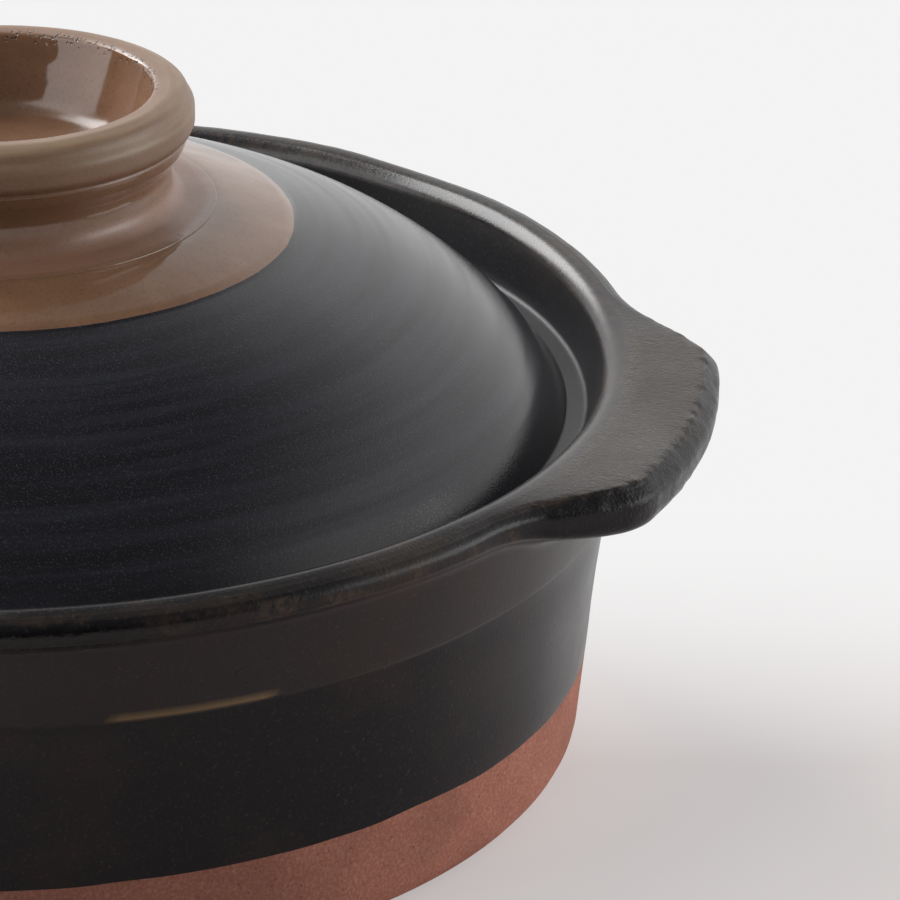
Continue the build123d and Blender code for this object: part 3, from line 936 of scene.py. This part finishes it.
def paperSweep():
    # The paper's own glow grows backwards and, for the camera, outwards; what is left is lit
    # paper, which holds the shadow. Reflections see the glow behind the pot, diffuse light none.
    material, tree = newMaterial("PalePaperSweep")
    place = addNode(tree, "ShaderNodeTexCoord").outputs["Object"]
    behind = addNode(tree, "ShaderNodeVectorMath", {
        0: place, 1: studio["backward"]}, operation="DOT_PRODUCT").outputs["Value"]
    away = addNode(tree, "ShaderNodeVectorMath", {0: place}, operation="LENGTH").outputs["Value"]
    # painted shade: in front of the pot, outside the picture, the floor is darker for diffuse
    # light
    backFade, ringFade, inFront = [
        addNode(tree, "ShaderNodeMapRange", {
            "Value": value, "From Min": studio[fade][0], "From Max": studio[fade][1],
            "To Min": start}, interpolation_type="SMOOTHSTEP")
        for value, fade, start in (
            (behind, "backFade", 0.0), (away, "ringFade", studio["glowNear"]),
            (behind, "paintedShadeFade", 0.0))]
    path = addNode(tree, "ShaderNodeLightPath").outputs
    anyGlow = addNode(tree, "ShaderNodeMath", {0: backFade, 1: ringFade}, operation="MAXIMUM")
    forCamera = addNode(tree, "ShaderNodeMath", {
        0: anyGlow, 1: path["Is Camera Ray"]}, operation="MULTIPLY")
    mirrorRay = addNode(tree, "ShaderNodeMath", {
        0: path["Is Glossy Ray"], 1: path["Is Transmission Ray"]}, operation="MAXIMUM")
    mirrored = addNode(tree, "ShaderNodeMath", {0: backFade, 1: mirrorRay}, operation="MULTIPLY")
    amount = addNode(tree, "ShaderNodeMath", {0: forCamera, 1: mirrored}, operation="MAXIMUM")
    paintedShadeAmount = addNode(tree, "ShaderNodeMath", {
        0: inFront, 1: path["Is Diffuse Ray"]}, operation="MULTIPLY")
    floorWithPaintedShade = addNode(tree, "ShaderNodeMix", {
        0: paintedShadeAmount, 6: linear(studio["floor"]), 7: linear(studio["paintedShadeFront"])},
        data_type="RGBA")
    paper = addNode(tree, "ShaderNodeBsdfDiffuse", {"Color": floorWithPaintedShade})
    glow = addNode(tree, "ShaderNodeEmission", {"Color": linear(studio["paper"])})
    mixed = addNode(tree, "ShaderNodeMixShader", {0: amount, 1: paper, 2: glow})
    addNode(tree, "ShaderNodeOutputMaterial", {"Surface": mixed})
    return material


def makeWorld():
    # Camera rays see plain pale paper. The object sees a bright backdrop behind it and to its
    # right, up to about 50 degrees high, and a dim room on the other sides.
    world = bpy.data.worlds.new("PaleStudio")
    bpy.context.scene.world = world
    world.use_nodes = True
    tree = world.node_tree
    tree.nodes.clear()
    heading = addNode(tree, "ShaderNodeTexCoord").outputs["Generated"]
    bright = addNode(tree, "ShaderNodeVectorMath", {
        0: heading, 1: studio["brightSide"]}, operation="DOT_PRODUCT").outputs["Value"]
    height = addNode(tree, "ShaderNodeSeparateXYZ", {0: heading}).outputs["Z"]
    sideFade, topFade, ceiling = [
        addNode(tree, "ShaderNodeMapRange", {
            "Value": value, "From Min": studio[fade][0], "From Max": studio[fade][1],
            "To Min": low, "To Max": high}, interpolation_type="SMOOTHSTEP")
        for value, fade, low, high in (
            (bright, "sideFade", 0.0, 1.0), (height, "topFade", 0.0, 1.0),
            (height, "ceilingFade", studio["ambient"], studio["overhead"]))]
    wall = addNode(tree, "ShaderNodeMath", {0: sideFade, 1: topFade}, operation="MULTIPLY")
    level = addNode(tree, "ShaderNodeMix", {
        0: wall, 2: ceiling, 3: studio["backdrop"]}, data_type="FLOAT")
    room = addNode(tree, "ShaderNodeBackground", {"Color": (1, 1, 1, 1), "Strength": level})
    paper = addNode(tree, "ShaderNodeBackground", {"Color": linear(studio["paper"])})
    path = addNode(tree, "ShaderNodeLightPath").outputs
    mixed = addNode(tree, "ShaderNodeMixShader", {0: path["Is Camera Ray"], 1: room, 2: paper})
    addNode(tree, "ShaderNodeOutputWorld", {"Surface": mixed})


def makeSoftboxes():
    for name, (radiance, size, place) in studio["softboxes"].items():
        data = bpy.data.lights.new(name, "AREA")
        data.shape = "RECTANGLE"
        data.size, data.size_y = size
        # radiance of a one-sided rectangle = power / (area x pi)
        data.energy = radiance * np.pi * data.size * data.size_y
        lamp = addObject(name, data)
        lamp.location = place
        aim = Vector(studio["aim"]) - lamp.location
        lamp.rotation_euler = aim.to_track_quat("-Z", "Y").to_euler()
        lamp.visible_diffuse = name != "LeftCard"  # the card is seen in the gloss only


makeCamera()
makeFloor()
makeWorld()
makeSoftboxes()
bpy.context.scene.view_settings.view_transform = "Standard"
print("studio set")
